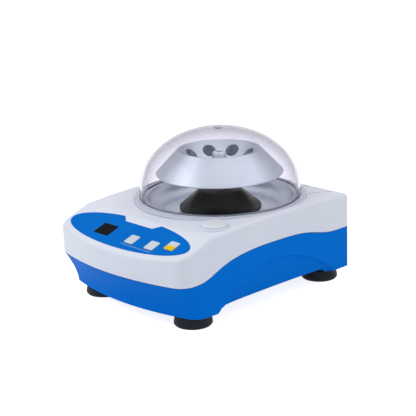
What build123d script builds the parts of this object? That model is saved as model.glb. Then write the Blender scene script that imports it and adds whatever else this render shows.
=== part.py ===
"""Mini centrifuge with a clear domed lid: a two-part housing on four suction feet, a push-button
lid latch, a steel bowl, and an eight-place angle rotor on a motor hung from rubber dampers.

The origin is on the table under the middle of the housing. X is to the right, Y to the back, Z up.
The rotor axis stands behind the middle, and heights are measured from the table."""
from build123d import *
import math
import os

os.makedirs("parts", exist_ok=True)

# Housing, laid out round the lid's ring
side_margin = 3.2
front_margin = 49.7
rear_margin = 5.2
wall = 2.5
underside = 10.8
crown_height = 73.6
rear_fall = 3.0
panel_break = 39.25
panel_break_fall = 3.6
panel_slope = 20.0
panel_bend_radius = 40.0
front_bow_radius = 226.0
front_corner = 12.5
rear_corner = 4.6
edge_round = 3.2
chin_height = 37.8
chin_set_back = 12.8
parting_gap = 0.5
parting_crest = 51.9
parting_rear = 44.0
arch_crown = 38.9
arch_front = 42.25
arch_rear = 18.25
arch_depth = 4.2
arch_step = 1.0
belly_height = 14.4
belly_front = 44.55
belly_rear = 25.75
belly_ramp = 4.0
vent_length = 36.0
vent_width = 2.6
vent_pitch = 6.0
vent_count = 6

# Fits
seam = 0.3
running = 0.05
screw_clearance = 0.1

# Lid
dome_radius = 64.6
dome_rise = 49.4
dome_foot = 5.4
dome_wall = 2.2
ring_width = 4.2
ring_set_down = 0.4
flange_thickness = 2.0
hinge_drop = 6.6
barrel_radius = 4.0
hinge_pin_radius = 1.5
plate_side = 15.0
plate_flare = 6.5
plate_start = 45.0
knuckle_x = 33.0
knuckle_width = 6.4
gate_radius = 3.5

# Chamber, rotor and drive
bowl_set_in = 3.4
bowl_sheet = 1.2
bowl_depth = 10.7
bowl_curve = 17.2
cover_base_radius = 32.8
cover_top_radius = 17.0
cover_rise = 15.5
cover_wall = 2.0
cover_screw_inset = 8.8
rotor_rim_radius = 50.5
rotor_clearance = 13.0
rotor_top_radius = 33.0
rotor_rise = 19.5
rotor_wall = 2.2
rotor_lip = 1.5
tube_count = 8
tube_hole = 11.2
dish_floor_radius = 17.5
hub_radius = 8.5
nut_rise = 11.5
shaft_radius = 2.5
motor_radius = 18.0
motor_gap = 3.1
bracket_drop = 6.5
bracket_sheet = 1.5
damper_x = 38.0
damper_y = 30.0
motor_screw_x = 12.0

# Button and latch
button_gap = 14.0
button_bearing = -47.4
button_radius = 10.0
button_stand = 0.9
button_travel = 2.0
hook_drop = 13.2
hook_set_in = 1.6
hook_thickness = 3.0
hook_width = 10.6
hook_window = 7.6
latch_thickness = 3.0
latch_width = 12.0
nose_width = 7.0
stem_half = 2.5
ramp_gap = 0.28
guide_sheet = 1.3
guide_ear_side = 11.0

# Panel
oval_side = 5.4
oval_front = 21.5
oval_height = 35.6
overlay_thickness = 0.5
notch_floor = 11.5
overlay_bed = 0.35
key_width = 9.2
key_length = 9.6
key_gap = 0.3
key_travel = 0.4
display_width = 16.4
display_height = 12.8
display_x = -22.3
display_up = -2.8
board_drop = 9.0
board_width = 22.0
board_up = 2.0
board_thickness = 1.6

# Feet and screws
foot_side = 20.2
foot_front = 37.5
foot_rear = 14.65
foot_radius = 14.6
screw_radius = 1.5
post_radius = 4.0
post_side = 10.0
post_front = 32.25
post_rear = 10.25
post_split = 38.0

# Rear wall
socket_x = -34.0
socket_depth = 10.5
switch_x = -8.0
rear_fittings_height = 28.0
rocker_half = 8.2
rocker_width = 10.6
rocker_tilt = 9.0
rear_recess = 1.5
rear_pad_side = 13.0
rear_pad_rise = 12.5

# Worked out from the sizes above: the plan
flange_radius = dome_radius + ring_width
bowl_radius = dome_radius - bowl_set_in
half_width = flange_radius + side_margin
body_length = front_margin + 2 * flange_radius + rear_margin
front_y = -body_length / 2
rear_y = body_length / 2
axis_y = rear_y - rear_margin - flange_radius
panel_break_y = front_y + panel_break
arch_front_y = front_y + arch_front
arch_rear_y = rear_y - arch_rear
hinge_y = rear_y - barrel_radius
plate_half_width = half_width - plate_side
button_reach = flange_radius + button_gap

# Heights
rear_height = crown_height - rear_fall
panel_break_height = crown_height - panel_break_fall
hinge_height = crown_height - hinge_drop
flange_top = crown_height - ring_set_down
flange_bottom = flange_top - flange_thickness
dome_base = flange_top + dome_foot
bowl_floor = flange_top - bowl_depth
cover_top = bowl_floor + cover_rise
rotor_rim_height = cover_top + rotor_clearance
rotor_top = rotor_rim_height + rotor_rise
cover_screw_circle = cover_base_radius - cover_screw_inset
bracket_height = bowl_floor - bracket_drop
motor_bottom = belly_height + wall + motor_gap
button_top = crown_height + button_stand
latch_height = flange_bottom - hook_drop
recess_floor = flange_bottom - 0.5
recess_radius = flange_radius + seam
collar_top = flange_top - bowl_sheet
slope_rise = math.tan(math.radians(panel_slope))
spin_plane = Plane.XZ.offset(-axis_y)
spin_axis = Axis((0, axis_y, 0), (0, 0, 1))


def panel_height(y):
    """Height of the sloped front panel at a place along the length."""
    return panel_break_height - (panel_break_y - y) * slope_rise


def plan_outline(height, inset=0.0, set_back=0.0):
    """Housing outline in plan: straight sides, bowed front, rounded corners."""
    side = half_width - inset
    bow = front_bow_radius - inset
    sagitta = bow - math.sqrt(bow**2 - side**2)
    front = front_y + inset + set_back
    back = rear_y - inset
    with BuildSketch(Plane.XY.offset(height)) as plan:
        with BuildLine():
            ThreePointArc((-side, front + sagitta), (0, front), (side, front + sagitta))
            Polyline((side, front + sagitta), (side, back), (-side, back), (-side, front + sagitta))
        make_face()
        fillet(plan.vertices().group_by(Axis.Y)[-1], rear_corner - inset)
        front_corners = [corner for corner in plan.vertices() if abs(corner.Y - front - sagitta) < 0.01]
        fillet(front_corners, front_corner - inset)
    return plan.sketch


def top_region(drop=0.0):
    """Side view of everything under the housing's top, lowered by a drop."""
    crown = (axis_y, crown_height - drop)
    break_point = (panel_break_y, panel_break_height - drop)
    nose = (front_y - wall, panel_height(front_y - wall) - drop)
    with BuildSketch(Plane.YZ) as side:
        with BuildLine():
            ThreePointArc((rear_y, rear_height - drop), crown, break_point)
            Polyline(break_point, nose, (nose[0], 0), (rear_y + wall, 0), (rear_y + wall, rear_height - drop),
                     (rear_y, rear_height - drop))
        make_face()
        bend = [corner for corner in side.vertices() if abs(corner.Y - panel_break_y) < 0.01]
        fillet(bend, panel_bend_radius)
    return side.sketch


def parting_region(shift):
    """Side view of everything under the line where the two housings meet."""
    points = [
        (axis_y - 95, chin_height),
        (axis_y - 70, parting_crest - 6.9),
        (axis_y - 47, parting_crest - 1.5),
        (axis_y - 6, parting_crest),
        (axis_y + 25, parting_crest - 2.3),
        (axis_y + 47, parting_rear + 0.8),
        (axis_y + 60, parting_rear),
    ]
    points = [(y, z + shift) for y, z in points]
    with BuildSketch(Plane.YZ) as side:
        with BuildLine():
            Spline(*points, tangents=[(1, 0), (1, 0)])
            Polyline(points[-1], (rear_y + wall, parting_rear + shift), (rear_y + wall, -wall),
                     (front_y - wall, -wall), (front_y - wall, chin_height + shift), points[0])
        make_face()
    return side.sketch


def scoop(grow=0.0):
    """Arched recess in the lower right side: a small step in, then a slope in to the belly."""
    low = underside - wall
    levels = [(half_width + wall, arch_crown), (half_width - arch_step, arch_crown - arch_step),
              (half_width - arch_depth, belly_height)]
    span = arch_rear_y - arch_front_y
    rises = [(0.175, 0.546), (0.311, 0.817), (0.492, 1.0), (0.674, 0.872), (0.848, 0.562)]
    sections = []
    for x, crown in levels:
        with BuildSketch(Plane.YZ.offset(x - grow)) as arch:
            with BuildLine():
                crest = [(arch_front_y + share * span, low + (crown - low) * rise + grow) for share, rise in rises]
                Spline((arch_front_y - grow, low), *crest, (arch_rear_y + grow, low))
                Line((arch_rear_y + grow, low), (arch_front_y - grow, low))
            make_face()
        sections.append(arch.sketch.face())
    with BuildPart() as cutter:
        loft(sections=sections, ruled=True)
    return cutter.part


def housing_block(inset=0.0):
    """Whole outer form of the housing, or its inside when inset by the wall."""
    chin_levels = 4
    with BuildPart() as block:
        plans = []
        for level in range(chin_levels):
            share = level / (chin_levels - 1)
            height = underside + inset + (chin_height - underside - inset) * share
            plans.append(plan_outline(height, inset, chin_set_back * (1 - share**1.5)).face())
        loft(sections=plans)
        extrude(plan_outline(chin_height, inset), amount=crown_height - chin_height)
        extrude(top_region(inset), amount=half_width + wall, both=True, mode=Mode.INTERSECT)
        with BuildSketch(Plane.YZ):
            with BuildLine():
                start = front_y + belly_front - inset
                end = rear_y - belly_rear + inset
                Polyline((start, underside - wall), (start, underside), (start + belly_ramp, belly_height + inset),
                         (end - belly_ramp, belly_height + inset), (end, underside), (end, underside - wall),
                         close=True)
            make_face()
        extrude(amount=half_width, both=True, mode=Mode.SUBTRACT)
        add(scoop(inset), mode=Mode.SUBTRACT)
        add(scoop(inset).mirror(Plane.YZ), mode=Mode.SUBTRACT)
    return block.part


def soft_edges(block):
    """Edges where the top meets the sides, front and back."""
    top_faces = [face for face in block.faces() if face.normal_at(face.center()).Z > 0.8]
    edges = {}
    for face in top_faces:
        for edge in face.edges():
            edges.setdefault(hash(edge), []).append(edge)
    return [found[0] for found in edges.values() if len(found) == 1]


def box_between(low, high):
    """Block between two corners."""
    size = [b - a for a, b in zip(low, high)]
    with BuildPart() as block:
        with Locations(low):
            Box(*size, align=(Align.MIN, Align.MIN, Align.MIN))
    return block.part


outer_block = housing_block()
inner_block = housing_block(wall)


def ring_band(inner, outer, low, high):
    """Ring about the rotor axis between two radii and two heights."""
    with BuildPart() as ring:
        with BuildSketch(Plane.XY.offset(low)):
            with Locations((0, axis_y)):
                Circle(outer)
                if inner > 0:
                    Circle(inner, mode=Mode.SUBTRACT)
        extrude(amount=high - low)
    return ring.part


# Lid plate: a slab that falls gently from the ring to the hinge and widens on the way
plate_break_y = axis_y + plate_start
plate_rear_top = hinge_height + barrel_radius


def plate_slab(drop, thickness, grow):
    """Slab under the lid plate's top, from its ring back to the hinge."""
    top = flange_top - drop
    end = plate_rear_top - drop
    wide = plate_half_width + grow
    narrow = wide - plate_flare
    with BuildPart() as slab:
        with BuildSketch(Plane.YZ):
            with BuildLine():
                Polyline((axis_y, top), (plate_break_y, top), (hinge_y, end), (hinge_y, end - thickness),
                         (plate_break_y, top - thickness), (axis_y, top - thickness), close=True)
            make_face()
        extrude(amount=wide, both=True)
        with BuildSketch(Plane.XY.offset(end - thickness)):
            with BuildLine():
                Polyline((-narrow, axis_y), (-narrow, plate_break_y), (-wide, hinge_y), (wide, hinge_y),
                         (narrow, plate_break_y), (narrow, axis_y), close=True)
            make_face()
        extrude(amount=top - end + thickness, mode=Mode.INTERSECT)
    return slab.part


def cross_rod(y, z, radius, start_x, end_x):
    """Round rod along X between two places."""
    with BuildPart() as rod:
        with BuildSketch(Plane.YZ.offset(start_x)):
            with Locations((y, z)):
                Circle(radius)
        extrude(amount=end_x - start_x)
    return rod.part


# Latch frame: its X runs outward from the rotor axis, through the button
bearing = math.radians(button_bearing)
outward = (math.cos(bearing), math.sin(bearing), 0)
latch_plan = Plane(origin=(0, axis_y, 0), x_dir=outward, z_dir=(0, 0, 1))
latch_side = Plane(origin=(0, axis_y, 0), x_dir=outward, z_dir=(outward[1], -outward[0], 0))
hook_outer = flange_radius - hook_set_in
hook_inner = hook_outer - hook_thickness
nose_reach = hook_outer - 1.2
window_inner = button_reach - 12.0
window_half = 3.2
guide_post = button_reach - 7.0
slider_end = button_reach + 6.7
ramp_rise = latch_thickness
stem_bottom = latch_height + 0.6
guide_start = hook_outer + 2.3
guide_end = button_reach + 8.4
guide_ear = guide_start + 2.0
guide_floor = latch_height - seam - guide_sheet
guide_roof = latch_height + latch_thickness + seam
guide_top = guide_roof + guide_sheet
cap_bottom = guide_top + button_travel + 0.8
cap_flange = 1.2
cap_flange_radius = button_radius + 1.2
boss_bottom = cap_bottom + cap_flange + 0.2
boss_radius = button_radius + 3.2
spring_seat = cap_bottom + 5.2

# Panel frame: its origin is in the middle of the oval, Y runs up the slope
oval_length = 2 * (half_width - oval_side)
oval_y = front_y + oval_front
panel = Plane(origin=(0, oval_y, panel_height(oval_y)), x_dir=(1, 0, 0),
              z_dir=(0, -math.sin(math.radians(panel_slope)), math.cos(math.radians(panel_slope))))
key_places = [(oval_length / 2 - 55.9, -5.3), (oval_length / 2 - 33.7, -5.3), (oval_length / 2 - 17.4, 0.1)]
display_place = (display_x, display_up)
board_left = display_x - 22.1
board_right = key_places[2][0] + 6.0
board_centre = ((board_left + board_right) / 2, board_up)
board_length = board_right - board_left
board_screw_rows = (board_up - board_width / 2 + 3.2, board_up + board_width / 2 - 3.2)
board_screw_places = [(board_left + 4.0, board_screw_rows[0]), (board_left + 4.0, board_screw_rows[1]),
                      ((key_places[0][0] + key_places[1][0]) / 2, board_screw_rows[0]),
                      (board_right - 4.0, board_screw_rows[1])]

# Places of the posts, feet, dampers and screws in plan
post_places = [(x, y) for x in (post_side - half_width, half_width - post_side)
               for y in (front_y + post_front, rear_y - post_rear)]
foot_places = {
    "front_left": (foot_side - half_width, front_y + foot_front),
    "front_right": (half_width - foot_side, front_y + foot_front),
    "rear_left": (foot_side - half_width, rear_y - foot_rear),
    "rear_right": (half_width - foot_side, rear_y - foot_rear),
}
damper_places = [(x, axis_y + y) for x in (-damper_x, damper_x) for y in (-damper_y, damper_y)]
motor_screw_places = [(x, axis_y) for x in (-motor_screw_x, motor_screw_x)]
inside_floor = underside + wall
damper_post_top = bracket_height - 3.5
hinge_well = barrel_radius + 0.4
rear_pad_centre = (socket_x + switch_x) / 2
rear_pad_half = (switch_x - socket_x) / 2 + rear_pad_side


def upright(x, y, radius, low, high):
    """Round post between two heights."""
    with BuildPart() as post:
        with BuildSketch(Plane.XY.offset(low)):
            with Locations((x, y)):
                Circle(radius)
        extrude(amount=high - low)
    return post.part


def on_panel(x, y, width, height, low, high, round_corner=0.0):
    """Block on the sloped panel between two distances from its surface."""
    with BuildPart() as block:
        with BuildSketch(panel.offset(low)):
            with Locations((x, y)):
                if round_corner > 0:
                    RectangleRounded(width, height, round_corner)
                else:
                    Rectangle(width, height)
        extrude(amount=high - low)
    return block.part


def panel_post(x, y, radius, low, high):
    """Round post square to the sloped panel."""
    with BuildPart() as post:
        with BuildSketch(panel.offset(low)):
            with Locations((x, y)):
                Circle(radius)
        extrude(amount=high - low)
    return post.part


def latch_block(start, end, half, low, high):
    """Block in the latch frame between two distances from the rotor axis."""
    with BuildPart() as block:
        with BuildSketch(latch_plan.offset(low)):
            with Locations(((start + end) / 2, 0)):
                Rectangle(end - start, 2 * half)
        extrude(amount=high - low)
    return block.part


def latch_post(reach, side, radius, low, high):
    """Round post placed in the latch frame."""
    with BuildPart() as post:
        with BuildSketch(latch_plan.offset(low)):
            with Locations((reach, side)):
                Circle(radius)
        extrude(amount=high - low)
    return post.part


def within(part, limit):
    """The share of a part that lies inside another."""
    with BuildPart() as shared:
        add(part)
        add(limit, mode=Mode.INTERSECT)
    return shared.part


def oval_face(margin=0.0):
    """Outline of the keypad: an oval with a bare notch in its upper edge."""
    notch_top = oval_height / 2 + 3
    with BuildSketch(panel) as outline:
        Ellipse(oval_length / 2 - margin, oval_height / 2 - margin)
        with BuildLine():
            Polyline((-25.8 - margin, notch_top), (-14.7 - margin, notch_floor - margin),
                     (15.3 + margin, notch_floor - margin), (24.8 + margin, notch_top), close=True)
        make_face(mode=Mode.SUBTRACT)
    return outline.sketch


def coil(radius, wire, length, turns):
    """Compression spring standing on its end."""
    with BuildPart() as spring:
        with BuildLine():
            path = Helix(pitch=(length - wire) / turns, height=length - wire, radius=radius,
                         center=(0, 0, wire / 2))
        with BuildSketch(Plane(origin=path @ 0, z_dir=path % 0)):
            Circle(wire / 2)
        sweep(path=path)
    return spring.part


# Upper housing
with BuildPart() as rounded_block:
    add(outer_block)
    fillet(soft_edges(rounded_block.part), edge_round)
rounded = rounded_block.part
seat = within(ring_band(bowl_radius - 1.6, recess_radius + wall, recess_floor - wall, crown_height), rounded)
well = within(cross_rod(hinge_y, hinge_height, hinge_well + wall, -plate_half_width - 7, plate_half_width + 7),
              rounded)
plate_floor = within(plate_slab(flange_thickness + 0.6, wall, wall), rounded)
button_boss = within(latch_post(button_reach, 0, boss_radius, boss_bottom, crown_height), rounded)

with BuildPart() as plate_pocket:
    add(plate_slab(-wall, wall + flange_thickness + 0.6, seam))
    add(ring_band(0, recess_radius - 1.5, bowl_floor, crown_height + wall), mode=Mode.SUBTRACT)

with BuildPart() as upper_housing:
    add(rounded)
    add(inner_block, mode=Mode.SUBTRACT)
    extrude(parting_region(parting_gap / 2), amount=half_width + wall, both=True, mode=Mode.SUBTRACT)
    # Seat for the lid's ring, slab under its plate and well for its hinge
    add(seat)
    add(ring_band(bowl_radius - 1.6, recess_radius, recess_floor - wall, recess_floor))
    add(plate_floor)
    add(well)
    # Screw posts, and bosses for the button, its guide and the control board
    for x, y in post_places:
        add(within(upright(x, y, post_radius, post_split + 0.2, crown_height), rounded))
    add(button_boss)
    add(latch_post(button_reach, 0, button_radius + 2.2, crown_height - 4, crown_height - 1.2))
    for side in (-guide_ear_side, guide_ear_side):
        add(latch_post(guide_ear, side, 2.8, guide_top, recess_floor - 1))
    for x, y in board_screw_places:
        add(panel_post(x, y, 2.6, -board_drop, -wall / 2))
    # Openings for the bowl, the ring, the plate and the barrel
    add(ring_band(0, bowl_radius - 1.6, post_split, crown_height + wall), mode=Mode.SUBTRACT)
    add(ring_band(bowl_radius - 1.6, recess_radius, recess_floor, crown_height + wall), mode=Mode.SUBTRACT)
    add(plate_pocket.part, mode=Mode.SUBTRACT)
    add(cross_rod(hinge_y, hinge_height, hinge_well, -plate_half_width - seam, plate_half_width + seam),
        mode=Mode.SUBTRACT)
    add(box_between((-plate_half_width - seam, hinge_y - hinge_well, hinge_height),
                    (plate_half_width + seam, rear_y + wall, crown_height)), mode=Mode.SUBTRACT)
    # Collar under the bowl's lip, and the fixed knuckles
    add(ring_band(bowl_radius - 1.6, bowl_radius + seam, recess_floor - wall, collar_top))
    for x in (-knuckle_x, knuckle_x):
        add(cross_rod(hinge_y, hinge_height, barrel_radius - 0.2, x - knuckle_width / 2, x + knuckle_width / 2))
        add(box_between((x - knuckle_width / 2, hinge_y - barrel_radius + 0.2, hinge_height - hinge_well - 1),
                        (x + knuckle_width / 2, hinge_y + barrel_radius - 0.2, hinge_height)))
    add(cross_rod(hinge_y, hinge_height, hinge_pin_radius + running, -plate_half_width - 6, plate_half_width + 6),
        mode=Mode.SUBTRACT)
    # Hole for the button, slot for the lid's hook, and screw holes
    add(latch_post(button_reach, 0, button_radius + seam, boss_bottom - 1, crown_height + wall),
        mode=Mode.SUBTRACT)
    add(latch_block(hook_inner - 0.7, hook_outer + 0.9, hook_width / 2 + 0.5, post_split, crown_height),
        mode=Mode.SUBTRACT)
    for side in (-guide_ear_side, guide_ear_side):
        add(latch_post(guide_ear, side, 1.0, guide_top, guide_top + 5), mode=Mode.SUBTRACT)
    for x, y in post_places:
        add(upright(x, y, screw_radius + running, post_split, post_split + 12), mode=Mode.SUBTRACT)
    for x, y in board_screw_places:
        add(panel_post(x, y, 1.0, -board_drop, -wall - 1), mode=Mode.SUBTRACT)
    # Groove for the seal, shallow bed for the keypad, and openings for keys and display
    add(ring_band(bowl_radius + 0.7, bowl_radius + 2.1, recess_floor - 0.6, recess_floor), mode=Mode.SUBTRACT)
    extrude(oval_face(), amount=-overlay_bed, mode=Mode.SUBTRACT)
    for x, y in key_places:
        add(on_panel(x, y, key_width + 2 * key_gap, key_length + 2 * key_gap, -2 * wall, wall),
            mode=Mode.SUBTRACT)
    add(on_panel(*display_place, display_width + 0.1, display_height + 0.1, -1.2, wall), mode=Mode.SUBTRACT)
    add(on_panel(*display_place, display_width - 2, display_height - 2, -2 * wall, wall), mode=Mode.SUBTRACT)
upper_housing.part.label = "upper_housing"
export_step(upper_housing.part, "parts/upper_housing.step")

# Lower housing
with BuildPart() as lower_housing:
    add(outer_block)
    add(inner_block, mode=Mode.SUBTRACT)
    extrude(parting_region(-parting_gap / 2), amount=half_width + wall, both=True, mode=Mode.INTERSECT)
    for x, y in post_places:
        add(within(upright(x, y, post_radius, underside, post_split), outer_block))
    for x, y in foot_places.values():
        add(upright(x, y, 5.5, underside + 1, inside_floor + 6))
    for x, y in damper_places:
        add(upright(x, y, 4.5, belly_height + 1, damper_post_top))
    add(box_between((rear_pad_centre - rear_pad_half, rear_y - wall - rear_recess, rear_fittings_height - rear_pad_rise),
                    (rear_pad_centre + rear_pad_half, rear_y - wall / 2, rear_fittings_height + rear_pad_rise)))
    with BuildSketch(Plane.XZ.offset(-rear_y)):
        with Locations((rear_pad_centre, rear_fittings_height)):
            RectangleRounded(2 * rear_pad_half - 4, 2 * rear_pad_rise - 2, 3)
    extrude(amount=rear_recess, mode=Mode.SUBTRACT)
    with BuildSketch(Plane.XZ.offset(-rear_y)):
        with Locations((socket_x, rear_fittings_height)):
            Circle(5.6)
        with Locations((switch_x, rear_fittings_height)):
            Rectangle(13.8, 19.4)
    extrude(amount=3 * wall, mode=Mode.SUBTRACT)
    for x, y in post_places:
        add(upright(x, y, screw_radius + running, 0, post_split), mode=Mode.SUBTRACT)
        add(upright(x, y, 3.3, 0, underside + 5), mode=Mode.SUBTRACT)
    for x, y in foot_places.values():
        add(upright(x, y, screw_radius + running, 0, inside_floor + 5), mode=Mode.SUBTRACT)
    for x, y in damper_places:
        add(upright(x, y, screw_radius + running, damper_post_top - 12, damper_post_top), mode=Mode.SUBTRACT)
    with BuildSketch(Plane.XY.offset(belly_height)):
        with Locations((0, axis_y)):
            with GridLocations(0, vent_pitch, 1, vent_count):
                SlotOverall(vent_length, vent_width)
    extrude(amount=wall + 1, both=True, mode=Mode.SUBTRACT)
lower_housing.part.label = "lower_housing"
export_step(lower_housing.part, "parts/lower_housing.step")

# Suction feet and their screws
for corner, (x, y) in foot_places.items():
    with BuildPart() as foot:
        with BuildSketch(Plane.XZ.offset(-y)):
            with BuildLine():
                rest = Line((foot_radius - 2.2, 0), (foot_radius - 1.0, 0))
                rim = Line(rest @ 1, (foot_radius, 1.2))
                side = Line(rim @ 1, (foot_radius, 2.6))
                taper = Line(side @ 1, (foot_radius - 1.1, underside - 2.4))
                shoulder = Line(taper @ 1, (foot_radius - 2.2, underside - 1.4))
                Polyline(shoulder @ 1, (8.0, underside - 1.4), (8.0, underside), (0, underside), (0, 3.4))
                ThreePointArc((0, 3.4), (foot_radius * 0.6, 2.2), rest @ 0)
            make_face()
        revolve(axis=Axis((0, y, 0), (0, 0, 1)))
        with BuildSketch():
            with Locations((0, y)):
                Circle(screw_radius + running)
        extrude(amount=underside, mode=Mode.SUBTRACT)
        with BuildSketch():
            with Locations((0, y)):
                Circle(3.4)
        extrude(amount=6.0, mode=Mode.SUBTRACT)
    placed = foot.part.moved(Location((x, 0, 0)))
    placed.label = "foot_" + corner
    export_step(placed, "parts/foot_" + corner + ".step")


def pan_screw(radius, head_radius, head_height, length):
    """Screw standing on its head, with the shank upward."""
    with BuildPart() as screw:
        with BuildSketch():
            Circle(head_radius)
        extrude(amount=head_height)
        with BuildSketch(Plane.XY.offset(head_height)):
            Circle(radius)
        extrude(amount=length)
        with BuildSketch():
            Rectangle(head_radius * 1.2, 0.6)
            Rectangle(0.6, head_radius * 1.2)
        extrude(amount=head_height * 0.5, mode=Mode.SUBTRACT)
    return screw.part


foot_screw = pan_screw(screw_radius, 3.0, 1.8, 12.0)
with BuildPart() as foot_screws:
    with Locations([(x, y, 4.2) for x, y in foot_places.values()]):
        add(foot_screw)
foot_screws.part.label = "foot_screws"
export_step(foot_screws.part, "parts/foot_screws.step")

housing_screw = pan_screw(screw_radius, 2.9, 2.0, post_split + 9 - underside - 5)
with BuildPart() as housing_screws:
    with Locations([(x, y, underside + 3) for x, y in post_places]):
        add(housing_screw)
housing_screws.part.label = "housing_screws"
export_step(housing_screws.part, "parts/housing_screws.step")

# Steel bowl of the chamber
with BuildPart() as chamber_bowl:
    with BuildSketch(spin_plane):
        with BuildLine():
            inner_curve = ThreePointArc((bowl_radius - 2.8, flange_top), (bowl_radius - 6.2, bowl_floor + 3.5),
                                        (bowl_radius - bowl_curve, bowl_floor))
            outer_curve = ThreePointArc((bowl_radius - 1.7, collar_top),
                                        (bowl_radius - 5.3, bowl_floor + 2.7),
                                        (bowl_radius - bowl_curve, bowl_floor - bowl_sheet))
            Polyline(inner_curve @ 1, (12, bowl_floor), (12, bowl_floor - bowl_sheet), outer_curve @ 1)
            Polyline(inner_curve @ 0, (bowl_radius, flange_top), (bowl_radius, collar_top), outer_curve @ 0)
        make_face()
    revolve(axis=spin_axis)
    with BuildSketch(Plane.XY.offset(bowl_floor - bowl_sheet)):
        with Locations((0, axis_y)):
            with PolarLocations(cover_screw_circle, 3, start_angle=90):
                Circle(screw_radius + running)
    extrude(amount=bowl_sheet, mode=Mode.SUBTRACT)
chamber_bowl.part.label = "chamber_bowl"
export_step(chamber_bowl.part, "parts/chamber_bowl.step")

# Motor cover, a smooth hollow cone with three screw bosses
with BuildPart() as motor_cover:
    lean = (cover_base_radius - cover_top_radius) / (cover_top - bowl_floor - 1.8)
    with BuildSketch(spin_plane) as section:
        with BuildLine():
            Polyline((6.5, cover_top), (cover_top_radius, cover_top), (cover_base_radius, bowl_floor + 1.8),
                     (cover_base_radius, bowl_floor), (cover_base_radius - cover_wall, bowl_floor),
                     (cover_base_radius - cover_wall - 0.8, bowl_floor + 1.2),
                     (cover_top_radius - 1, cover_top - cover_wall), (6.5, cover_top - cover_wall), close=True)
        make_face()
        shoulder = section.vertices().filter_by(lambda v: abs(v.X - cover_top_radius) < 0.01)
        fillet(shoulder, 1.6)
    revolve(axis=spin_axis)
    with BuildSketch(Plane.XY.offset(bowl_floor)):
        with Locations((0, axis_y)):
            with PolarLocations(cover_screw_circle, 3, start_angle=90):
                Circle(3.0)
    extrude(amount=5.5)
    with BuildSketch(Plane.XY.offset(bowl_floor)):
        with Locations((0, axis_y)):
            with PolarLocations(cover_screw_circle, 3, start_angle=90):
                Circle(screw_radius - 0.1)
    extrude(amount=5.0, mode=Mode.SUBTRACT)
motor_cover.part.label = "motor_cover"
export_step(motor_cover.part, "parts/motor_cover.step")

with BuildPart() as cover_screws:
    with Locations((0, axis_y, bowl_floor - bowl_sheet - 1.4)):
        with PolarLocations(cover_screw_circle, 3, start_angle=90):
            add(pan_screw(screw_radius - 0.15, 2.6, 1.4, 5.0))
cover_screws.part.label = "cover_screws"
export_step(cover_screws.part, "parts/cover_screws.step")

# Angle rotor: outer cone, sloping dish with tube holes, hub
cone_lean = (rotor_top - rotor_rim_height - 1.3) / (rotor_rim_radius - rotor_top_radius)
wall_drop = rotor_wall * math.sqrt(1 + cone_lean**2)
dish_wall_drop = 3.0 * math.sqrt(2)
dish_lip = rotor_top_radius - rotor_lip
dish_floor = rotor_top - (dish_lip - dish_floor_radius)
nut_top = dish_floor + nut_rise
tube_circle = (dish_lip + dish_floor_radius) / 2
meet_radius = (dish_lip + dish_wall_drop - wall_drop + cone_lean * rotor_top_radius) / (1 + cone_lean)
meet_height = meet_radius + rotor_top - dish_lip - dish_wall_drop
rim_inner = rotor_top_radius + (rotor_top - wall_drop - rotor_rim_height) / cone_lean
with BuildPart() as rotor:
    with BuildSketch(spin_plane) as section:
        with BuildLine():
            Polyline(
                (dish_lip, rotor_top),
                (rotor_top_radius, rotor_top),
                (rotor_rim_radius, rotor_rim_height + 1.3),
                (rotor_rim_radius, rotor_rim_height),
                (rim_inner, rotor_rim_height),
                (meet_radius, meet_height),
                (dish_floor_radius + 1.2, dish_floor - 3.0),
                (hub_radius, dish_floor - 3.0),
                (hub_radius, cover_top + 4),
                (shaft_radius + 0.02, cover_top + 4),
                (shaft_radius + 0.02, dish_floor + 2.5),
                (hub_radius, dish_floor + 2.5),
                (hub_radius, dish_floor),
                (dish_floor_radius, dish_floor),
                close=True,
            )
        make_face()
        lip = [v for v in section.vertices() if v.Z > rotor_top - 0.01]
        fillet(lip, 0.6)
        rim = [v for v in section.vertices() if abs(v.X - rotor_rim_radius) < 0.01]
        fillet(rim, 0.6)
    revolve(axis=spin_axis)
    hole_height = rotor_top - (dish_lip - tube_circle)
    for index in range(tube_count):
        turn = math.radians(360 / tube_count * (index + 0.5) + button_bearing)
        place = (tube_circle * math.cos(turn), axis_y + tube_circle * math.sin(turn), hole_height)
        toward = (math.cos(turn), math.sin(turn), -1)
        with BuildSketch(Plane(origin=place, z_dir=toward)):
            Circle(tube_hole / 2)
        extrude(amount=6.5, both=True, mode=Mode.SUBTRACT)
rotor.part.label = "rotor"
export_step(rotor.part, "parts/rotor.step")

with BuildPart() as rotor_nut:
    with BuildSketch(spin_plane):
        with BuildLine():
            Polyline((0, nut_top), (4.6, nut_top), (5.1, nut_top - 0.5), (6.7, dish_floor + 3.3),
                     (6.7, dish_floor + 2.5), (shaft_radius + 0.02, dish_floor + 2.5),
                     (shaft_radius + 0.02, dish_floor + 8.5), (0, dish_floor + 8.5), close=True)
        make_face()
    revolve(axis=spin_axis)
    with BuildSketch(Plane.XY.offset(nut_top)):
        with Locations((0, axis_y)):
            Rectangle(7.0, 1.4)
    extrude(amount=-1.2, mode=Mode.SUBTRACT)
rotor_nut.part.label = "rotor_nut"
export_step(rotor_nut.part, "parts/rotor_nut.step")

# Motor: shaft, armature, bearings, magnets, can and end cap
shaft_bottom = motor_bottom + 1.2
with BuildPart() as motor_shaft:
    add(ring_band(0, shaft_radius, shaft_bottom, dish_floor + 8.2))
    chamfer(motor_shaft.edges().group_by(Axis.Z)[-1], 0.5)
motor_shaft.part.label = "motor_shaft"
export_step(motor_shaft.part, "parts/motor_shaft.step")

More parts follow.
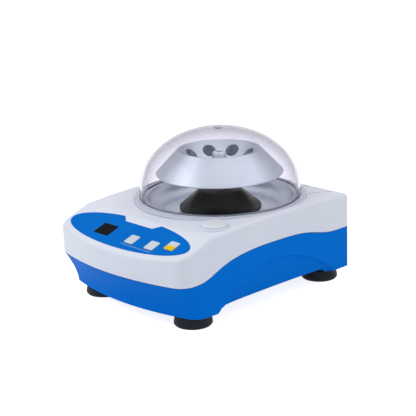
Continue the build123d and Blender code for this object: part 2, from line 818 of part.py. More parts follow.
armature_bottom = motor_bottom + 8
armature_top = bracket_height - 8
with BuildPart() as motor_armature:
    add(ring_band(shaft_radius + 0.02, motor_radius - 4.6, armature_bottom, armature_top))
    with BuildSketch(Plane.XY.offset(armature_bottom)):
        with Locations((0, axis_y)):
            with PolarLocations(motor_radius - 6.5, 5):
                Rectangle(6, 1.2)
    extrude(amount=armature_top - armature_bottom, mode=Mode.SUBTRACT)
motor_armature.part.label = "motor_armature"
export_step(motor_armature.part, "parts/motor_armature.step")

with BuildPart() as motor_magnets:
    with BuildSketch(Plane.XY.offset(armature_bottom)):
        with Locations((0, axis_y)):
            Circle(motor_radius - 1.3)
            Circle(motor_radius - 3.9, mode=Mode.SUBTRACT)
            Rectangle(2 * motor_radius, 12, mode=Mode.SUBTRACT)
    extrude(amount=armature_top - armature_bottom)
motor_magnets.part.label = "motor_magnets"
export_step(motor_magnets.part, "parts/motor_magnets.step")

with BuildPart() as motor_can:
    add(ring_band(motor_radius - 1.2, motor_radius, motor_bottom + 3, bracket_height))
    add(ring_band(5.6, motor_radius, bracket_height - 1.2, bracket_height))
    add(ring_band(5.6, 7.0, bracket_height - 4.2, bracket_height - 1.2))
    for x, y in motor_screw_places:
        add(upright(x, y, screw_radius + running, bracket_height - 2, bracket_height), mode=Mode.SUBTRACT)
motor_can.part.label = "motor_can"
export_step(motor_can.part, "parts/motor_can.step")

with BuildPart() as motor_end_cap:
    add(ring_band(0, motor_radius, motor_bottom, motor_bottom + 3))
    add(ring_band(0, 4.1, motor_bottom + 1, motor_bottom + 3), mode=Mode.SUBTRACT)
motor_end_cap.part.label = "motor_end_cap"
export_step(motor_end_cap.part, "parts/motor_end_cap.step")

with BuildPart() as motor_bearings:
    add(ring_band(shaft_radius + running, 5.5, bracket_height - 4, bracket_height - 0.2))
    add(ring_band(shaft_radius + running, 4.0, motor_bottom + 1, motor_bottom + 4))
motor_bearings.part.label = "motor_bearings"
export_step(motor_bearings.part, "parts/motor_bearings.step")

# Bracket, rubber dampers and screws that hang the motor
with BuildPart() as motor_bracket:
    with BuildSketch(Plane.XY.offset(bracket_height)):
        with Locations((0, axis_y)):
            RectangleRounded(2 * damper_x + 13, 2 * damper_y + 13, 6)
            Circle(7, mode=Mode.SUBTRACT)
        with Locations(damper_places):
            Circle(3.6, mode=Mode.SUBTRACT)
        with Locations(motor_screw_places):
            Circle(screw_radius + running, mode=Mode.SUBTRACT)
    extrude(amount=bracket_sheet)
motor_bracket.part.label = "motor_bracket"
export_step(motor_bracket.part, "parts/motor_bracket.step")

motor_screw = pan_screw(screw_radius, 2.6, 1.4, 4.0).rotate(Axis.X, 180)
with BuildPart() as motor_screws:
    with Locations([(x, y, bracket_height + bracket_sheet + 1.4) for x, y in motor_screw_places]):
        add(motor_screw)
motor_screws.part.label = "motor_screws"
export_step(motor_screws.part, "parts/motor_screws.step")

with BuildPart() as motor_dampers:
    with BuildSketch(Plane.XY.offset(damper_post_top)):
        with Locations(damper_places):
            Circle(5.5)
            Circle(screw_radius + screw_clearance, mode=Mode.SUBTRACT)
    extrude(amount=bracket_height - damper_post_top)
    with BuildSketch(Plane.XY.offset(bracket_height)):
        with Locations(damper_places):
            Circle(3.5)
            Circle(screw_radius + screw_clearance, mode=Mode.SUBTRACT)
    extrude(amount=bracket_sheet)
    with BuildSketch(Plane.XY.offset(bracket_height + bracket_sheet)):
        with Locations(damper_places):
            Circle(5.0)
            Circle(screw_radius + screw_clearance, mode=Mode.SUBTRACT)
    extrude(amount=1.3)
motor_dampers.part.label = "motor_dampers"
export_step(motor_dampers.part, "parts/motor_dampers.step")

damper_screw = pan_screw(screw_radius, 2.8, 1.4, 14.0).rotate(Axis.X, 180)
with BuildPart() as damper_screws:
    with Locations([(x, y, bracket_height + bracket_sheet + 1.3 + 1.4) for x, y in damper_places]):
        add(damper_screw)
damper_screws.part.label = "damper_screws"
export_step(damper_screws.part, "parts/damper_screws.step")

# Clear lid: dome, ring, sloping plate and hinge barrels in one moulding
knuckle_gap = knuckle_width / 2 + seam
with BuildPart() as lid_plate_slab:
    add(plate_slab(0, flange_thickness, 0))
    add(ring_band(0, flange_radius - 0.8, bowl_floor, crown_height), mode=Mode.SUBTRACT)
lid_plate = lid_plate_slab.part
with BuildPart() as lid:
    with BuildSketch(spin_plane):
        with BuildLine():
            outside_arc = math.degrees(math.acos(gate_radius / dome_radius))
            inside_arc = math.degrees(math.acos(gate_radius / (dome_radius - dome_wall)))
            dome_outside = EllipticalCenterArc((0, dome_base), dome_radius, dome_rise, arc_size=outside_arc)
            dome_inside = EllipticalCenterArc((0, dome_base), dome_radius - dome_wall, dome_rise - dome_wall,
                                              arc_size=inside_arc)
            gate_top = dome_base + dome_rise + 0.2
            Polyline(dome_outside @ 1, (gate_radius, gate_top), (0, gate_top),
                     (0, (dome_inside @ 1).Y), dome_inside @ 1)
            Polyline(dome_outside @ 0, (dome_radius, flange_top), (flange_radius, flange_top),
                     (flange_radius, flange_bottom), (dome_radius - dome_wall, flange_bottom), dome_inside @ 0)
        make_face()
    revolve(axis=spin_axis)
    add(lid_plate)
    for x in (-knuckle_x, knuckle_x):
        add(box_between((x - knuckle_gap, hinge_y - hinge_well - 0.8, hinge_height - 5),
                        (x + knuckle_gap, rear_y, crown_height)), mode=Mode.SUBTRACT)
    for start, end in ((-plate_half_width, -knuckle_x - knuckle_gap),
                       (-knuckle_x + knuckle_gap, knuckle_x - knuckle_gap),
                       (knuckle_x + knuckle_gap, plate_half_width)):
        add(cross_rod(hinge_y, hinge_height, barrel_radius, start, end))
    add(cross_rod(hinge_y, hinge_height, hinge_pin_radius + running, -plate_half_width, plate_half_width),
        mode=Mode.SUBTRACT)
lid.part.label = "lid"
export_step(lid.part, "parts/lid.step")

with BuildPart() as hinge_pin:
    add(cross_rod(hinge_y, hinge_height, hinge_pin_radius, -plate_half_width - 5.5, plate_half_width + 5.5))
hinge_pin.part.label = "hinge_pin"
export_step(hinge_pin.part, "parts/hinge_pin.step")

with BuildPart() as lid_seal:
    add(ring_band(bowl_radius + 0.7, bowl_radius + 2.1, recess_floor - 0.6, flange_bottom - 0.2))
lid_seal.part.label = "lid_seal"
export_step(lid_seal.part, "parts/lid_seal.step")

with BuildPart() as lid_hook:
    add(latch_block(hook_inner, hook_outer, hook_width / 2, latch_height - seam - 3.2, flange_bottom))
    add(latch_block(hook_inner - 1, hook_outer + 1, hook_window / 2, latch_height - seam,
                    latch_height + latch_thickness + 0.4), mode=Mode.SUBTRACT)
    chamfer(lid_hook.edges().filter_by(GeomType.LINE).group_by(Axis.Z)[0], 0.8)
lid_hook.part.label = "lid_hook"
export_step(lid_hook.part, "parts/lid_hook.step")

# Push button, latch slider between the plates of its guide, and their springs
ramp_foot = button_reach + stem_half - ramp_rise
with BuildPart() as lid_button:
    add(latch_post(button_reach, 0, button_radius, cap_bottom, button_top))
    fillet(lid_button.edges().group_by(Axis.Z)[-1], 1.4)
    add(latch_post(button_reach, 0, cap_flange_radius, cap_bottom, cap_bottom + cap_flange))
    add(latch_post(button_reach, 0, button_radius - 2.4, cap_bottom, spring_seat), mode=Mode.SUBTRACT)
    with BuildSketch(latch_side):
        with BuildLine():
            Polyline((button_reach - stem_half, spring_seat), (button_reach - stem_half, stem_bottom),
                     (ramp_foot, stem_bottom), (button_reach + stem_half, stem_bottom + ramp_rise),
                     (button_reach + stem_half, spring_seat), close=True)
        make_face()
    extrude(amount=stem_half, both=True)
lid_button.part.label = "lid_button"
export_step(lid_button.part, "parts/lid_button.step")

with BuildPart() as latch_slider:
    add(latch_block(nose_reach, guide_start + 1, nose_width / 2, latch_height, latch_height + latch_thickness))
    add(latch_block(guide_start + 0.3, slider_end, latch_width / 2, latch_height, latch_height + latch_thickness))
    low_edge = ramp_foot + latch_height - stem_bottom + ramp_gap
    with BuildSketch(latch_side):
        with BuildLine():
            Polyline((window_inner, latch_height - 1), (low_edge - 1, latch_height - 1),
                     (low_edge + latch_thickness + 1, latch_height + latch_thickness + 1),
                     (window_inner, latch_height + latch_thickness + 1), close=True)
        make_face()
    extrude(amount=window_half, both=True, mode=Mode.SUBTRACT)
latch_slider.part.label = "latch_slider"
export_step(latch_slider.part, "parts/latch_slider.step")

guide_side = latch_width / 2 + seam
with BuildPart() as latch_guide:
    add(latch_block(guide_start, guide_end, guide_side + guide_sheet, guide_floor, guide_top))
    add(latch_block(guide_start - 1, guide_end + 1, guide_side, guide_floor + guide_sheet, guide_roof),
        mode=Mode.SUBTRACT)
    add(latch_block(guide_start, guide_ear + 3, guide_ear_side + 3, guide_roof, guide_top))
    add(latch_block(guide_start - 1, guide_ear + 4, guide_side, guide_floor + guide_sheet, guide_roof),
        mode=Mode.SUBTRACT)
    add(latch_block(button_reach - stem_half - 0.4, button_reach + stem_half + 0.4, stem_half + 0.4,
                    guide_floor - 1, guide_top + 1), mode=Mode.SUBTRACT)
    add(latch_block(guide_post, guide_post + 1.5, 1.3, guide_floor, guide_top))
    for side in (-guide_ear_side, guide_ear_side):
        add(latch_post(guide_ear, side, 1.2, guide_floor, guide_top + 1), mode=Mode.SUBTRACT)
latch_guide.part.label = "latch_guide"
export_step(latch_guide.part, "parts/latch_guide.step")

guide_screw = pan_screw(0.95, 2.0, 1.2, 5.5)
with BuildPart() as guide_screws:
    with Locations([latch_plan * Location((guide_ear, side, guide_roof - 1.2))
                    for side in (-guide_ear_side, guide_ear_side)]):
        add(guide_screw)
guide_screws.part.label = "guide_screws"
export_step(guide_screws.part, "parts/guide_screws.step")

latch_spring = coil(1.35, 0.4, guide_post - window_inner - 0.2, 4)
latch_spring = latch_spring.rotate(Axis.Y, 90).moved(
    latch_plan * Location((window_inner + 0.1, 0, latch_height + latch_thickness / 2)))
latch_spring.label = "latch_spring"
export_step(latch_spring, "parts/latch_spring.step")

button_spring = coil(4.4, 0.6, spring_seat - guide_top - 0.2, 4)
button_spring = button_spring.moved(latch_plan * Location((button_reach, 0, guide_top + 0.1)))
button_spring.label = "button_spring"
export_step(button_spring, "parts/button_spring.step")

# Keypad overlay with its window, keys, and the board behind them
with BuildPart() as keypad_overlay:
    extrude(oval_face(0.1), amount=overlay_thickness - overlay_bed)
    extrude(oval_face(0.1), amount=-overlay_bed)
    for x, y in key_places:
        add(on_panel(x, y, key_width + 2 * key_gap, key_length + 2 * key_gap, -1, 1), mode=Mode.SUBTRACT)
    add(on_panel(*display_place, display_width + 0.1, display_height + 0.1, -1, 1), mode=Mode.SUBTRACT)
keypad_overlay.part.label = "keypad_overlay"
export_step(keypad_overlay.part, "parts/keypad_overlay.step")

with BuildPart() as display_window:
    add(on_panel(*display_place, display_width, display_height, -1.2, overlay_thickness - 0.3))
display_window.part.label = "display_window"
export_step(display_window.part, "parts/display_window.step")

with BuildPart() as display_module:
    add(on_panel(*display_place, display_width - 0.6, display_height - 0.6, -board_drop, -wall - 0.3))
display_module.part.label = "display_module"
export_step(display_module.part, "parts/display_module.step")

switch_top = -board_drop + 4.2
for name, (x, y) in zip(("key_left", "key_middle", "key_right"), key_places):
    with BuildPart() as key:
        add(on_panel(x, y, key_width, key_length, -wall, overlay_thickness, 0.8))
        add(on_panel(x, y, key_width + 1.6, key_length + 1.6, -wall - 0.9, -wall - 0.15, 0.8))
        add(on_panel(x, y, key_width, key_length, -wall - 0.5, -wall + 0.5))
        add(panel_post(x, y, 1.6, switch_top + key_travel + 0.1, -wall - 0.5))
    key.part.label = name
    export_step(key.part, "parts/" + name + ".step")

with BuildPart() as control_board:
    add(on_panel(*board_centre, board_length, board_width, -board_drop - board_thickness, -board_drop, 1.5))
    for x, y in board_screw_places:
        add(panel_post(x, y, 1.2, -board_drop - 3, -board_drop + 1), mode=Mode.SUBTRACT)
control_board.part.label = "control_board"
export_step(control_board.part, "parts/control_board.step")

with BuildPart() as tact_switches:
    for x, y in key_places:
        add(on_panel(x, y, 6, 6, -board_drop, switch_top - 0.8))
        add(panel_post(x, y, 1.7, switch_top - 0.8, switch_top))
tact_switches.part.label = "tact_switches"
export_step(tact_switches.part, "parts/tact_switches.step")

with BuildPart() as board_screws:
    with Locations([panel * Location((x, y, -board_drop - board_thickness - 1.2)) for x, y in board_screw_places]):
        add(pan_screw(0.95, 2.0, 1.2, 5.5))
board_screws.part.label = "board_screws"
export_step(board_screws.part, "parts/board_screws.step")

# Rear wall: low-voltage socket, switch frame and rocker
wall_face = rear_y - rear_recess
socket_plane = Plane(origin=(socket_x, wall_face, rear_fittings_height), x_dir=(1, 0, 0), z_dir=(0, 1, 0))
with BuildPart() as power_socket:
    with BuildSketch(socket_plane):
        Circle(7.2)
    extrude(amount=1.2)
    with BuildSketch(socket_plane):
        Circle(5.5)
    extrude(amount=-13)
    with BuildSketch(socket_plane.offset(1.2)):
        Circle(2.75)
    extrude(amount=-socket_depth, mode=Mode.SUBTRACT)
power_socket.part.label = "power_socket"
export_step(power_socket.part, "parts/power_socket.step")

with BuildPart() as socket_pin:
    with BuildSketch(socket_plane.offset(1.2 - socket_depth)):
        Circle(1.05)
    extrude(amount=socket_depth - 1.0)
    chamfer(socket_pin.edges().group_by(Axis.Y)[-1], 0.3)
socket_pin.part.label = "socket_pin"
export_step(socket_pin.part, "parts/socket_pin.step")

frame_plane = Plane(origin=(switch_x, wall_face, rear_fittings_height), x_dir=(1, 0, 0), z_dir=(0, 1, 0))
rocker_face = wall_face + 1.2 - 3.0
with BuildPart() as switch_frame:
    with BuildSketch(frame_plane):
        Rectangle(16, 21.6)
    extrude(amount=1.2)
    with BuildSketch(frame_plane):
        Rectangle(13.6, 19.2)
    extrude(amount=-13)
    with BuildSketch(frame_plane.offset(1.2)):
        Rectangle(rocker_width + 0.6, 2 * rocker_half + 1.4)
    extrude(amount=-9.6, mode=Mode.SUBTRACT)
    add(cross_rod(rocker_face - 1, rear_fittings_height, 1.05, switch_x - 6.3, switch_x + 6.3), mode=Mode.SUBTRACT)
switch_frame.part.label = "switch_frame"
export_step(switch_frame.part, "parts/switch_frame.step")

lean_back = math.radians(rocker_tilt)
rocker_plane = Plane(origin=(switch_x, rocker_face - 1, rear_fittings_height),
                     x_dir=(0, math.cos(lean_back), math.sin(lean_back)), z_dir=(1, 0, 0))
with BuildPart() as power_rocker:
    with BuildSketch(rocker_plane):
        with BuildLine():
            Polyline((-1.6, -rocker_half), (2.4, -rocker_half), (1.4, 0), (2.4, rocker_half),
                     (-1.6, rocker_half), close=True)
        make_face()
    extrude(amount=rocker_width / 2, both=True)
    add(cross_rod(rocker_face - 1, rear_fittings_height, 1.0, switch_x - 6.0, switch_x + 6.0))
power_rocker.part.label = "power_rocker"
export_step(power_rocker.part, "parts/power_rocker.step")
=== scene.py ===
"""Mini centrifuge: the finishes of its parts, a pale studio and the camera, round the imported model.

Positions are in metres in the row frame: X to the right, Y to the back, Z up from the table."""
import math

import bpy
from mathutils import Matrix, Vector


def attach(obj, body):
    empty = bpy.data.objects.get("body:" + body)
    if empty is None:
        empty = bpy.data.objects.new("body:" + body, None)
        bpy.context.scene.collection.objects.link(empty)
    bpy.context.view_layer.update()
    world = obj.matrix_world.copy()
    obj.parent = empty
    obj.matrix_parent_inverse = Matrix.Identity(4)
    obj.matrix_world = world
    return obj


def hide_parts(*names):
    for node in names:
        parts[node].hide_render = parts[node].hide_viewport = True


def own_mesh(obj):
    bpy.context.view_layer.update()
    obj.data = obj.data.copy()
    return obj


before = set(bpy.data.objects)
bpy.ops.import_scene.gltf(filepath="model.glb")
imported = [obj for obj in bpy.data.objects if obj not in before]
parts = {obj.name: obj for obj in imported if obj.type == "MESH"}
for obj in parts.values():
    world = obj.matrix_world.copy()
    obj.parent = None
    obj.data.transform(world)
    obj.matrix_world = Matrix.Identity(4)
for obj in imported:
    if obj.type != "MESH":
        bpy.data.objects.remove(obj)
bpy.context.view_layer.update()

RIGHT = (1.0, 0.0, 0.0)
BACK = (0.0, 1.0, 0.0)
UP = (0.0, 0.0, 1.0)
ROTOR_AXIS_Y = 0.02225

# Keypad, and the pale line printed under its keys
PANEL_CENTRE = (0.0, -0.07475, 0.06352)
PANEL_SLOPE = math.radians(20.0)
LINE_SIDES = (0.005, 0.038)
LINE_EDGES = (-0.0124, -0.0120)
YELLOW_TOP = 0.0002

# Frosted stretches of the lid
FROST_STEP = 0.0003
PLATE_RADIUS = 0.0688
RING_RADIUS = 0.0640
RING_TOP = 0.0738
RING_FROST = 0.85

# Metal finish
GROOVES_PER_METRE = 5200.0
GROOVE_DEPTH = 0.00002

# Studio
FLOOR_REACH = 3.0
FLOOR_GLOW = 0.82
ROOM_LIGHT = 0.62
LIT_PLACE = (0.0, 0.0, 0.06)
CAMERA_PLACE = (0.714195, -0.661364, 0.351378)
CAMERA_TURN = (
    (0.69017, -0.183477, 0.700001),
    (0.723018, 0.215171, -0.656466),
    (-0.030174, 0.959186, 0.281162),
)


# Node helpers

def linear(red, green, blue):
    """Colour given as eight-bit screen values, turned into linear light."""
    def channel(value):
        value = value / 255
        if value <= 0.04045:
            return value / 12.92
        return ((value + 0.055) / 1.055) ** 2.4
    return (channel(red), channel(green), channel(blue), 1.0)


def new_material(name, roughness, metallic=0.0, **settings):
    """Material with the given shader values. Returns it with its tree and its shader."""
    material = bpy.data.materials.new(name)
    material.use_nodes = True
    tree = material.node_tree
    shader = tree.nodes["Principled BSDF"]
    shader.inputs["Roughness"].default_value = roughness
    shader.inputs["Metallic"].default_value = metallic
    for key, value in settings.items():
        shader.inputs[key.replace("_", " ")].default_value = value
    return material, tree, shader


def place_node(tree):
    """Point on the surface in the row frame."""
    return tree.nodes.new("ShaderNodeTexCoord").outputs["Object"]


def noise(tree, scale, detail=3.0, vector=None):
    """Noise value from 0 to 1 at a scale in cells per metre."""
    node = tree.nodes.new("ShaderNodeTexNoise")
    node.inputs["Scale"].default_value = scale
    node.inputs["Detail"].default_value = detail
    tree.links.new(vector or place_node(tree), node.inputs["Vector"])
    return node.outputs["Fac"]


def number(tree, operation, first, second=None):
    """Result of one operation on sockets or plain numbers."""
    node = tree.nodes.new("ShaderNodeMath")
    node.operation = operation
    for index, value in enumerate((first, second)):
        if value is None:
            continue
        if isinstance(value, (int, float)):
            node.inputs[index].default_value = value
        else:
            tree.links.new(value, node.inputs[index])
    return node.outputs[0]


def spread(tree, value, low, high, start=0.0, end=1.0):
    """Value mapped from one range to another and held at its ends."""
    node = tree.nodes.new("ShaderNodeMapRange")
    tree.links.new(value, node.inputs["Value"])
    node.inputs["From Min"].default_value = low
    node.inputs["From Max"].default_value = high
    node.inputs["To Min"].default_value = start
    node.inputs["To Max"].default_value = end
    return node.outputs["Result"]


def between(tree, value, low, high, blur):
    """One where a value lies between two limits and zero outside, with blurred edges."""
    above = spread(tree, value, low - blur, low + blur)
    below = spread(tree, value, high + blur, high - blur)
    return number(tree, "MULTIPLY", above, below)


def mixed(tree, factor, first, second):
    """Colour between two colours or colour sockets, which a Mix node has at 6 and 7."""
    node = tree.nodes.new("ShaderNodeMix")
    node.data_type = "RGBA"
    tree.links.new(factor, node.inputs["Factor"])
    for socket, value in ((node.inputs[6], first), (node.inputs[7], second)):
        if isinstance(value, tuple):
            socket.default_value = value
        else:
            tree.links.new(value, socket)
    return node.outputs[2]


def bump(tree, shader, height, strength, distance):
    """Small relief from a height value, with its depth in metres."""
    node = tree.nodes.new("ShaderNodeBump")
    node.inputs["Strength"].default_value = strength
    node.inputs["Distance"].default_value = distance
    tree.links.new(height, node.inputs["Height"])
    tree.links.new(node.outputs["Normal"], shader.inputs["Normal"])


def along(tree, axis, origin=(0.0, 0.0, 0.0)):
    """Distance in metres from an origin along a direction in the row frame."""
    offset = tree.nodes.new("ShaderNodeVectorMath")
    offset.operation = "SUBTRACT"
    offset.inputs[1].default_value = origin
    tree.links.new(place_node(tree), offset.inputs[0])
    product = tree.nodes.new("ShaderNodeVectorMath")
    product.operation = "DOT_PRODUCT"
    product.inputs[1].default_value = axis
    tree.links.new(offset.outputs["Vector"], product.inputs[0])
    return product.outputs["Value"]


def up_panel(tree):
    """Distance in metres up the slope of the keypad from its middle."""
    return along(tree, (0.0, math.cos(PANEL_SLOPE), math.sin(PANEL_SLOPE)), PANEL_CENTRE)


def axis_radius(tree):
    """Distance in metres from the rotor axis."""
    across = along(tree, BACK, (0.0, ROTOR_AXIS_Y, 0.0))
    side = along(tree, RIGHT)
    squares = [number(tree, "MULTIPLY", value, value) for value in (side, across)]
    return number(tree, "SQRT", number(tree, "ADD", *squares))


def grazing(tree):
    """Value that rises from 0 to 1 where the surface turns edge on."""
    node = tree.nodes.new("ShaderNodeLayerWeight")
    node.inputs["Blend"].default_value = 0.5
    return node.outputs["Facing"]


def seen_directly(tree):
    """One for rays that come from the camera, a gloss or a clear surface, and zero for the others."""
    rays = tree.nodes.new("ShaderNodeLightPath")
    straight = number(tree, "MAXIMUM", rays.outputs["Is Camera Ray"], rays.outputs["Is Glossy Ray"])
    return number(tree, "MAXIMUM", straight, rays.outputs["Is Transmission Ray"])


# Finishes

def plain_plastic(name, colour, shade, roughness, grain=2600.0, depth=0.00003, paint=None, **settings):
    """Moulded plastic: a faint change of tone, a fine texture and uneven gloss."""
    material, tree, shader = new_material(name, roughness, **settings)
    tone = noise(tree, 22.0, 4.0)
    base = mixed(tree, spread(tree, tone, 0.35, 0.65), colour, shade)
    if paint:
        base = paint(tree, base)
    tree.links.new(base, shader.inputs["Base Color"])
    gloss = spread(tree, noise(tree, 240.0), 0.3, 0.7, roughness - 0.04, roughness + 0.05)
    tree.links.new(gloss, shader.inputs["Roughness"])
    bump(tree, shader, noise(tree, grain, 2.0), 0.35, depth)
    return material


def turned_metal(name, colour, shade, roughness):
    """Metal with fine rings round the rotor axis, as turning and spinning leave them."""
    material, tree, shader = new_material(name, roughness, 1.0)
    join = tree.nodes.new("ShaderNodeCombineXYZ")
    tree.links.new(axis_radius(tree), join.inputs["X"])
    tree.links.new(along(tree, UP), join.inputs["Y"])
    lines = noise(tree, GROOVES_PER_METRE, 2.0, join.outputs[0])
    broad = noise(tree, 160.0, 3.0, join.outputs[0])
    tone = number(tree, "MULTIPLY", number(tree, "ADD", lines, broad), 0.5)
    tree.links.new(mixed(tree, spread(tree, tone, 0.3, 0.7), colour, shade), shader.inputs["Base Color"])
    gloss = spread(tree, lines, 0.3, 0.7, roughness - 0.05, roughness + 0.06)
    tree.links.new(gloss, shader.inputs["Roughness"])
    bump(tree, shader, lines, 0.25, GROOVE_DEPTH)
    return material


def pale_line(tree, base):
    """Thin pale line printed under the keys."""
    height = between(tree, up_panel(tree), *LINE_EDGES, 0.00005)
    width = between(tree, along(tree, RIGHT), *LINE_SIDES, 0.0001)
    inside = number(tree, "MULTIPLY", height, width)
    return mixed(tree, number(tree, "MULTIPLY", inside, 0.6), base, linear(190, 208, 228))


def yellow_front(tree, base):
    """Front half of the right key in yellow."""
    return mixed(tree, spread(tree, up_panel(tree), 0.0, YELLOW_TOP), linear(232, 194, 12), base)


def dress(material, *names):
    """Gives parts a material in place of their plain one."""
    for name in names:
        slots = parts[name].data.materials
        slots.clear()
        slots.append(material)


# Housing, feet and button
white = plain_plastic("white_shell_look", linear(224, 228, 240), linear(221, 225, 238), 0.42,
                      Specular_IOR_Level=0.3)
dress(white, "upper_housing")
blue = plain_plastic("blue_shell_look", linear(0, 118, 222), linear(0, 115, 218), 0.5,
                     Specular_IOR_Level=0.02)
dress(blue, "lower_housing")
rubber = plain_plastic("foot_rubber_look", linear(20, 25, 33), linear(27, 32, 40), 0.6,
                       grain=900.0, depth=0.00006, Specular_IOR_Level=0.2)
dress(rubber, "foot_front_left", "foot_front_right", "foot_rear_left", "foot_rear_right", "motor_dampers")
silicone = plain_plastic("seal_silicone_look", linear(205, 208, 220), linear(198, 202, 215), 0.5,
                         grain=900.0, depth=0.00004)
dress(silicone, "lid_seal")
button_white = plain_plastic("button_white_look", linear(222, 226, 234), linear(218, 222, 231), 0.36,
                             Specular_IOR_Level=0.3)
dress(button_white, "lid_button", "lid_hook", "latch_slider")

# Chamber and rotor
bowl_steel = turned_metal("bowl_steel_look", linear(214, 220, 229), linear(200, 207, 218), 0.32)
dress(bowl_steel, "chamber_bowl", "rotor_nut")
rotor_alloy = turned_metal("rotor_alloy_look", linear(203, 209, 218), linear(196, 203, 213), 0.44)
dress(rotor_alloy, "rotor")
cover_black = plain_plastic("cover_black_look", linear(6, 6, 9), linear(9, 9, 12), 0.16,
                            grain=500.0, depth=0.00002, Specular_IOR_Level=0.06)
dress(cover_black, "motor_cover", "power_rocker")

# Clear lid, with a painted dark reflection greying its colour where it is seen edge on, and frosted on the
# ring and on the plate behind the dome
clear, tree, shader = new_material("clear_lid_look", 0.0, IOR=1.18, Transmission_Weight=1.0,
                                   Specular_IOR_Level=0.2)
haze = mixed(tree, noise(tree, 35.0, 4.0), linear(248, 248, 251), linear(250, 250, 253))
# Painted reflection: the colour greys towards violet in two steps as the surface turns edge on
painted_edge_shade = mixed(tree, spread(tree, grazing(tree), 0.05, 0.6), haze, linear(207, 205, 214))
painted_edge_shade = mixed(tree, spread(tree, grazing(tree), 0.6, 1.0), painted_edge_shade, linear(120, 117, 138))
tree.links.new(painted_edge_shade, shader.inputs["Base Color"])
frost = tree.nodes.new("ShaderNodeBsdfPrincipled")
frost.inputs["Base Color"].default_value = linear(222, 225, 240)
frost.inputs["Roughness"].default_value = 0.45
frost.inputs["Specular IOR Level"].default_value = 0.3
plate = spread(tree, axis_radius(tree), PLATE_RADIUS, PLATE_RADIUS + FROST_STEP)
past_dome = spread(tree, axis_radius(tree), RING_RADIUS, RING_RADIUS + 0.0005)
under_top = spread(tree, along(tree, UP), RING_TOP, RING_TOP - FROST_STEP)
ring = number(tree, "MULTIPLY", number(tree, "MULTIPLY", past_dome, under_top), RING_FROST)
lid_mix = tree.nodes.new("ShaderNodeMixShader")
tree.links.new(number(tree, "MAXIMUM", plate, ring), lid_mix.inputs[0])
tree.links.new(shader.outputs[0], lid_mix.inputs[1])
tree.links.new(frost.outputs[0], lid_mix.inputs[2])
tree.links.new(lid_mix.outputs[0], tree.nodes["Material Output"].inputs["Surface"])
dress(clear, "lid")

# Keypad
overlay = plain_plastic("overlay_blue_look", linear(0, 111, 205), linear(0, 108, 201), 0.4,
                        grain=3500.0, depth=0.00001, paint=pale_line, Specular_IOR_Level=0.01)
dress(overlay, "keypad_overlay")
key_white = plain_plastic("key_white_look", linear(205, 214, 224), linear(201, 210, 221), 0.4,
                          grain=3500.0, depth=0.00001, Specular_IOR_Level=0.2)
dress(key_white, "key_left", "key_middle")
key_halved = plain_plastic("key_halved_look", linear(205, 214, 224), linear(201, 210, 221), 0.4,
                           grain=3500.0, depth=0.00001, paint=yellow_front, Specular_IOR_Level=0.2)
dress(key_halved, "key_right")
glass_black = plain_plastic("display_black_look", linear(8, 8, 9), linear(12, 12, 13), 0.1,
                            grain=300.0, depth=0.000004, Specular_IOR_Level=0.02)
dress(glass_black, "display_window")

# Inner and rear fittings
black_plastic = plain_plastic("black_plastic_look", linear(34, 34, 37), linear(42, 42, 45), 0.42,
                              grain=1800.0, depth=0.00004)
dress(black_plastic, "latch_guide", "display_module", "tact_switches", "motor_end_cap", "power_socket",
      "switch_frame")
plated = turned_metal("plated_screw_look", linear(196, 198, 202), linear(180, 183, 188), 0.2)
dress(plated, "foot_screws", "housing_screws", "cover_screws", "motor_bearings", "damper_screws", "hinge_pin",
      "guide_screws", "latch_spring", "button_spring", "board_screws", "motor_screws", "socket_pin")
sheet_steel = turned_metal("sheet_steel_look", linear(176, 180, 186), linear(160, 165, 172), 0.32)
dress(sheet_steel, "motor_shaft", "motor_armature", "motor_can", "motor_bracket")
magnet_grey = plain_plastic("magnet_grey_look", linear(70, 70, 72), linear(58, 58, 60), 0.5,
                            grain=700.0, depth=0.00005)
dress(magnet_grey, "motor_magnets")
board_green = plain_plastic("board_green_look", linear(22, 92, 52), linear(16, 80, 44), 0.3,
                            grain=400.0, depth=0.00004)
dress(board_green, "control_board")


def live_spring(node):
    """Copy of a coil spring, attached to the base in place of the hidden part."""
    coil = bpy.data.objects.new(node + "_coil", parts[node].data.copy())
    bpy.context.collection.objects.link(coil)
    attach(coil, "base")
    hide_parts(node)
    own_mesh(coil)


# Springs under the button and behind the latch slider
live_spring("button_spring")
live_spring("latch_spring")

# Floor, which glows where it is seen and takes a soft shadow
floor_mesh = bpy.data.meshes.new("floor")
corners = [(-FLOOR_REACH, -FLOOR_REACH, 0), (FLOOR_REACH, -FLOOR_REACH, 0),
           (FLOOR_REACH, FLOOR_REACH, 0), (-FLOOR_REACH, FLOOR_REACH, 0)]
floor_mesh.from_pydata(corners, [], [(0, 1, 2, 3)])
floor = bpy.data.objects.new("floor", floor_mesh)
bpy.context.collection.objects.link(floor)
floor_look = bpy.data.materials.new("floor_look")
floor_look.use_nodes = True
tree = floor_look.node_tree
tree.nodes.clear()
paint = tree.nodes.new("ShaderNodeBsdfDiffuse")
floor_tone = mixed(tree, noise(tree, 40.0), (0.80, 0.80, 0.81, 1), (0.83, 0.83, 0.84, 1))
tree.links.new(floor_tone, paint.inputs["Color"])
glow = tree.nodes.new("ShaderNodeEmission")
glow.inputs["Color"].default_value = (1, 1, 1, 1)
tree.links.new(number(tree, "MULTIPLY", seen_directly(tree), FLOOR_GLOW), glow.inputs["Strength"])
total = tree.nodes.new("ShaderNodeAddShader")
tree.links.new(paint.outputs[0], total.inputs[0])
tree.links.new(glow.outputs[0], total.inputs[1])
out = tree.nodes.new("ShaderNodeOutputMaterial")
tree.links.new(total.outputs[0], out.inputs["Surface"])
floor_mesh.materials.append(floor_look)

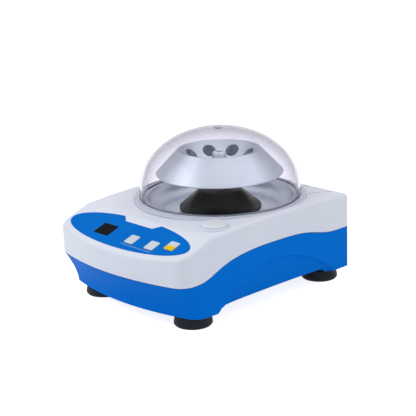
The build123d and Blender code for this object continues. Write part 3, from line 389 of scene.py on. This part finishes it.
# World, white where it is seen and dimmer as a light
world = bpy.data.worlds.new("studio")
bpy.context.scene.world = world
world.use_nodes = True
tree = world.node_tree
tree.nodes.clear()
shown = tree.nodes.new("ShaderNodeBackground")
shown.inputs["Color"].default_value = (1, 1, 1, 1)
shown.inputs["Strength"].default_value = 1.0
lighting = tree.nodes.new("ShaderNodeBackground")
lighting.inputs["Color"].default_value = (0.97, 0.98, 1.0, 1)
lighting.inputs["Strength"].default_value = ROOM_LIGHT
choice = tree.nodes.new("ShaderNodeMixShader")
tree.links.new(seen_directly(tree), choice.inputs[0])
tree.links.new(lighting.outputs[0], choice.inputs[1])
tree.links.new(shown.outputs[0], choice.inputs[2])
out = tree.nodes.new("ShaderNodeOutputWorld")
tree.links.new(choice.outputs[0], out.inputs["Surface"])


def soft_light(name, place, width, height, power):
    """Rectangular soft lamp that points at the object."""
    lamp = bpy.data.lights.new(name, "AREA")
    lamp.shape = "RECTANGLE"
    lamp.size = width
    lamp.size_y = height
    lamp.energy = power
    stand = bpy.data.objects.new(name, lamp)
    bpy.context.collection.objects.link(stand)
    stand.location = place
    stand.rotation_mode = "QUATERNION"
    stand.rotation_quaternion = (Vector(LIT_PLACE) - Vector(place)).to_track_quat("-Z", "Y")


soft_light("key_light", (-0.55, -0.9, 0.95), width=0.9, height=0.7, power=5.4)
soft_light("top_light", (0.1, 0.1, 1.2), width=0.8, height=0.8, power=1.6)
soft_light("side_light", (1.2, 0.1, 0.5), width=0.4, height=0.7, power=1.3)
soft_light("rear_light", (0.46, 0.58, 0.86), width=0.5, height=0.5, power=0.9)

# Camera
camera_data = bpy.data.cameras.new("camera")
camera_data.sensor_width = 36.0
camera_data.lens = 111.43
camera_data.clip_start = 0.02
camera_data.clip_end = 20.0
camera = bpy.data.objects.new("camera", camera_data)
bpy.context.collection.objects.link(camera)
camera.matrix_world = Matrix.Translation(CAMERA_PLACE) @ Matrix(CAMERA_TURN).to_4x4()
bpy.context.scene.camera = camera

bpy.context.scene.view_settings.view_transform = "Standard"
